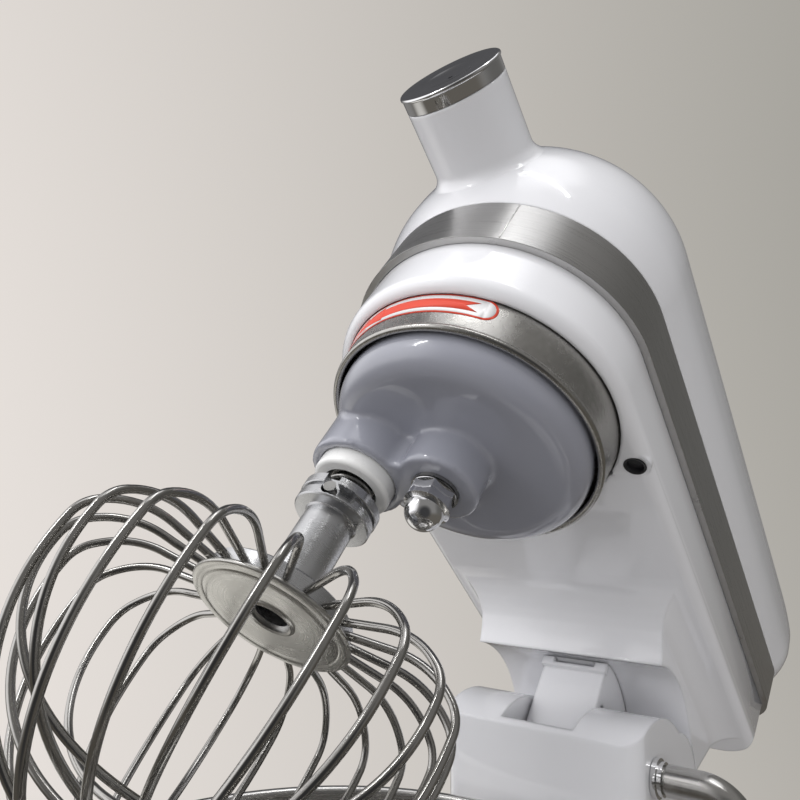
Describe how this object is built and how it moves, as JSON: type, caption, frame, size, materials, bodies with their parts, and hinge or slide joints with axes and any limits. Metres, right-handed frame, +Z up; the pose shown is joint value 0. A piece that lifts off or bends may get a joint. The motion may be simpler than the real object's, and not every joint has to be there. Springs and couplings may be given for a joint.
{
  "type": "stand mixer",
  "caption": "Tilt-head planetary kitchen mixer, head raised, with a balloon whisk on the beater shaft, a front attachment hub with a chrome cap, a lock lever and a steel bowl on its base.",
  "frame": {"origin": "on the worktop plane, under the middle of the whole mixer's bounding box with the head raised", "axes": "+Z up, +X from the column towards the bowl and the nose, +Y to the mixer's own left, the side with the lock lever"},
  "size_m": [0.5284, 0.259, 0.5487],
  "materials": {
    "white_enamel": "high-gloss white enamel",
    "lilac_enamel": "gloss pale grey-lilac enamel",
    "white_plastic": "smooth white moulding",
    "dark_plastic": "fine matte",
    "rubber": "matte",
    "steel": "machined",
    "brushed": "brushed along its length",
    "polished": "polished stainless",
    "chrome": "mirror",
    "aluminium": "machined satin",
    "dark_iron": "blackened",
    "bronze": "sintered bronze",
    "board": "circuit board"
  },
  "bodies": {
    "stand": {"base_casting": "white_enamel", "bottom_cover": "dark_plastic", "feet": "rubber", "seat_ring": "steel", "hinge_pin": "steel", "hinge_bushes": "bronze", "control_board": "board", "cord_gland": "dark_plastic", "base_screws": "steel", "switch_frame": "dark_plastic", "speed_pot": "dark_plastic"},
    "head": {"upper_shell": "white_enamel", "lower_housing": "white_enamel", "trim_band": "brushed", "hinge_lug": "white_enamel", "drip_ring": "brushed", "hub_liner": "steel", "gearbox_plate": "aluminium", "motor_stator": "dark_iron", "ring_gear": "steel", "main_bearing": "steel", "housing_screws": "dark_iron", "idler_shaft": "steel"},
    "rotor": {"rotor": "dark_iron", "motor_fan": "dark_plastic", "motor_pinion": "steel"},
    "idler": {"idler_gears": "steel"},
    "hub_drive": {"hub_spindle": "steel"},
    "planetary": {"planetary_housing": "lilac_enamel", "main_shaft": "steel", "main_wheel": "steel", "nut_washer": "steel", "acorn_nut": "chrome", "beater_bearings": "steel", "seal_ring": "white_plastic"},
    "beater": {"beater_shaft": "steel", "cross_pin": "steel", "planet_gear": "steel", "lock_spring": "steel"},
    "whisk": {"whisk_hub": "aluminium", "whisk_dish": "aluminium", "whisk_wires": "polished"},
    "hub_cap": {"hub_cap": "chrome"},
    "lever": {"lever_tube": "brushed", "lever_flange": "chrome", "lever_shaft": "steel", "lever_cam": "steel"},
    "knob": {"speed_knob": "dark_plastic"},
    "rocker": {"switch_rocker": "dark_plastic"},
    "bowl": {"bowl": "polished", "bowl_foot": "polished"}
  },
  "joints": [
    {"name": "head_tilt", "type": "hinge", "parent": "stand", "child": "head", "pos_m": [-0.0635, 0, 0.206], "axis": [0, -1, 0], "range_deg": [-42.5, 0]},
    {"name": "planetary_spin", "type": "hinge", "parent": "head", "child": "planetary", "pos_m": [0.04099, 0, 0.38312], "axis": [-0.6756, 0, 0.7373], "continuous": true},
    {"name": "beater_spin", "type": "hinge", "parent": "planetary", "child": "beater", "pos_m": [0.04614, -0.03633, 0.38785], "axis": [-0.6756, 0, 0.7373], "continuous": true},
    {"name": "idler_spin", "type": "hinge", "parent": "head", "child": "idler", "pos_m": [-0.04059, 0, 0.36262], "axis": [-0.6756, 0, 0.7373], "continuous": true},
    {"name": "rotor_spin", "type": "hinge", "parent": "head", "child": "rotor", "pos_m": [-0.11333, 0, 0.35023], "axis": [-0.6756, 0, 0.7373], "continuous": true},
    {"name": "hub_spin", "type": "hinge", "parent": "head", "child": "hub_drive", "pos_m": [0.0138, 0, 0.4868], "axis": [0.7373, 0, 0.6756], "continuous": true},
    {"name": "whisk_push", "type": "slide", "parent": "beater", "child": "whisk", "axis": [-0.6756, 0, 0.7373], "range_m": [0, 0.004], "stiffness_N_per_m": 2200, "springref_m": -0.004, "deforming": ["lock_spring"]},
    {"name": "cap_pull", "type": "slide", "parent": "head", "child": "hub_cap", "axis": [0.7373, 0, 0.6756], "range_m": [0, 0.03]},
    {"name": "lever_turn", "type": "hinge", "parent": "stand", "child": "lever", "pos_m": [-0.03, 0.05, 0.2255], "axis": [0, -1, 0], "range_deg": [0, 35]},
    {"name": "knob_turn", "type": "hinge", "parent": "stand", "child": "knob", "pos_m": [-0.0575, -0.055, 0.128], "axis": [0, -1, 0], "range_deg": [0, 270]},
    {"name": "rocker_tilt", "type": "hinge", "parent": "stand", "child": "rocker", "pos_m": [-0.0575, -0.0476, 0.082], "axis": [1, 0, 0], "range_deg": [-14, 0]},
    {"name": "bowl_twist", "type": "hinge", "parent": "stand", "child": "bowl", "pos_m": [0.1332, 0, 0.046], "axis": [0, 0, 1], "range_deg": [0, 25]}
  ],
  "couplings": [
    {"joint": "beater_spin", "follows": "planetary_spin", "ratio": -3.4667},
    {"joint": "idler_spin", "follows": "planetary_spin", "ratio": -4.2857},
    {"joint": "rotor_spin", "follows": "planetary_spin", "ratio": 17.857},
    {"joint": "hub_spin", "follows": "planetary_spin", "ratio": -1}
  ]
}
